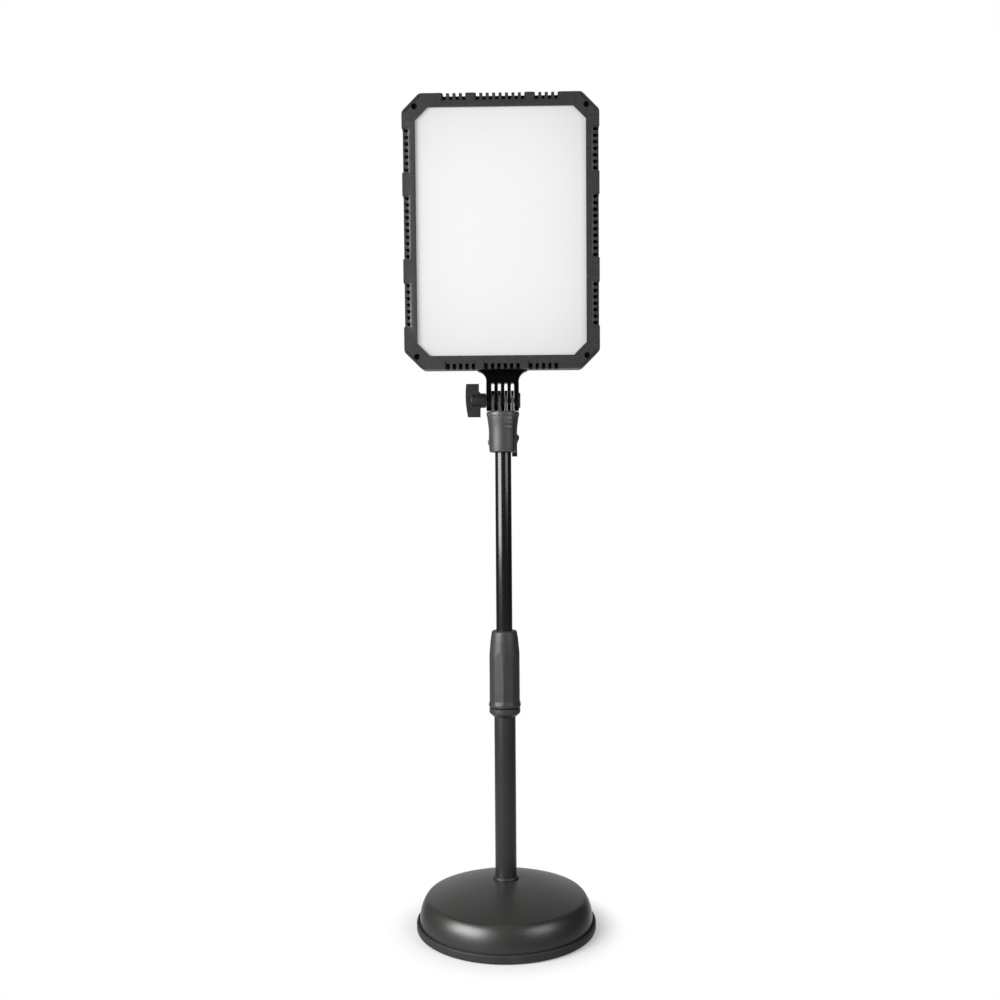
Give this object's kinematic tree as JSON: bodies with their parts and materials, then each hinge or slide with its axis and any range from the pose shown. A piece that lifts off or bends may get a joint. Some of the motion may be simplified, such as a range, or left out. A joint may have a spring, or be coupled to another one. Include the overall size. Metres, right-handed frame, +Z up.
{
  "type": "soft light panel on stand",
  "caption": "Flat soft light panel with an opal diffuser on a tilting, swivelling hinge, telescopic twist-lock mast and round weighted base.",
  "frame": {"origin": "centre of the base's underside, on the surface that it stands on", "axes": "+Z up along the mast, -Y towards the side that the panel lights, +X to the right seen from that side"},
  "size_m": [0.1936, 0.181, 0.8325],
  "materials": {
    "satin_cover": "satin powder coat",
    "foot_rubber": "satin moulded rubber",
    "zinc_plate": "zinc plated",
    "cast_weight": "rough cast",
    "black_fastener": "black oxide",
    "steel_fastener": "zinc plated",
    "matte_tube": "matte black paint",
    "gloss_tube": "gloss black paint",
    "grip_plastic": "fine matte",
    "acetal": "natural",
    "collar_plastic": "fine matte",
    "bracket_plastic": "fine matte",
    "knob_plastic": "fine matte",
    "bezel_plastic": "textured matte",
    "housing_plastic": "textured matte",
    "opal_acrylic": "opal, satin",
    "clear_acrylic": "clear",
    "white_film": "white film",
    "sheet_aluminium": "mill",
    "white_board": "solder mask",
    "green_board": "solder mask",
    "led_phosphor": "silicone",
    "ferrite": "matte",
    "capacitor_sleeve": "sleeve",
    "display_glass": "gloss",
    "dial_plastic": "soft touch",
    "switch_plastic": "gloss"
  },
  "bodies": {
    "base": {"base_foot_ring": "foot_rubber", "base_bottom_plate": "zinc_plate", "base_weight": "cast_weight", "base_cover": "satin_cover", "base_bolt": "steel_fastener", "base_washer": "steel_fastener", "tube_plug": "steel_fastener", "lower_tube": "matte_tube", "tube_flange_ring": "satin_cover", "clutch_body": "grip_plastic", "clutch_collet": "acetal"},
    "clutch_grip": {"clutch_grip": "grip_plastic"},
    "mast": {"upper_tube": "gloss_tube", "guide_bush": "acetal", "tube_top_plug": "bracket_plastic"},
    "collar": {"socket_collar": "collar_plastic", "clamp_bolt": "steel_fastener", "clamp_bolt_head": "collar_plastic", "clamp_pin": "steel_fastener"},
    "clamp_lever": {"clamp_lever": "collar_plastic"},
    "head": {"tilt_bracket": "bracket_plastic", "bracket_screws": "black_fastener", "tilt_nut": "steel_fastener", "tilt_nut_cap": "knob_plastic", "front_bezel": "bezel_plastic", "corner_screws": "black_fastener", "rear_housing": "housing_plastic", "diffuser_panel": "opal_acrylic", "light_guide_plate": "clear_acrylic", "reflector_sheet": "white_film", "heat_spreader": "sheet_aluminium", "spreader_screws": "steel_fastener", "driver_board": "green_board", "driver_spacers": "steel_fastener", "board_screws": "steel_fastener", "driver_inductor": "ferrite", "driver_capacitors": "capacitor_sleeve", "driver_heat_sink": "sheet_aluminium", "control_board": "green_board", "display_module": "white_board", "display_window": "display_glass", "switch_body": "switch_plastic", "power_inlet": "switch_plastic", "led_strip_left": "white_board", "led_strip_right": "white_board", "led_chips_left": "led_phosphor", "led_chips_right": "led_phosphor", "brightness_encoder": "steel_fastener", "colour_encoder": "steel_fastener"},
    "tilt_knob": {"tilt_knob": "knob_plastic", "tilt_stud": "steel_fastener", "knob_washer": "steel_fastener"},
    "brightness_dial": {"brightness_dial": "dial_plastic", "brightness_shaft": "sheet_aluminium"},
    "colour_dial": {"colour_dial": "dial_plastic", "colour_shaft": "sheet_aluminium"},
    "power_rocker": {"power_rocker": "switch_plastic"}
  },
  "joints": [
    {"name": "clutch_turn", "type": "hinge", "parent": "base", "child": "clutch_grip", "pos_m": [0, 0, 0.26], "axis": [0, 0, 1], "range_deg": [0, 300]},
    {"name": "height_slide", "type": "slide", "parent": "base", "child": "mast", "axis": [0, 0, 1], "range_m": [-0.15, 0.015]},
    {"name": "collar_swivel", "type": "hinge", "parent": "mast", "child": "collar", "pos_m": [0, 0, 0.5], "axis": [0, 0, 1], "continuous": true},
    {"name": "lever_flip", "type": "hinge", "parent": "collar", "child": "clamp_lever", "pos_m": [0.0126, 0.0165, 0.4966], "axis": [0, -1, 0], "range_deg": [0, 130]},
    {"name": "tilt", "type": "hinge", "parent": "collar", "child": "head", "pos_m": [0, 0, 0.5336], "axis": [1, 0, 0], "range_deg": [-93.1, 86.9]},
    {"name": "knob_turn", "type": "hinge", "parent": "head", "child": "tilt_knob", "pos_m": [0, 0, 0.5336], "axis": [1, 0, 0], "range_deg": [-450, 0]},
    {"name": "brightness_turn", "type": "hinge", "parent": "head", "child": "brightness_dial", "pos_m": [-0.046, 0.00543, 0.63675], "axis": [0, 0.9985, 0.0541], "continuous": true},
    {"name": "colour_turn", "type": "hinge", "parent": "head", "child": "colour_dial", "pos_m": [0.046, 0.00543, 0.63675], "axis": [0, 0.9985, 0.0541], "continuous": true},
    {"name": "rocker_tip", "type": "hinge", "parent": "head", "child": "power_rocker", "pos_m": [-0.024, 0.00627, 0.60274], "axis": [1, 0, 0], "range_deg": [-12, 0]}
  ]
}
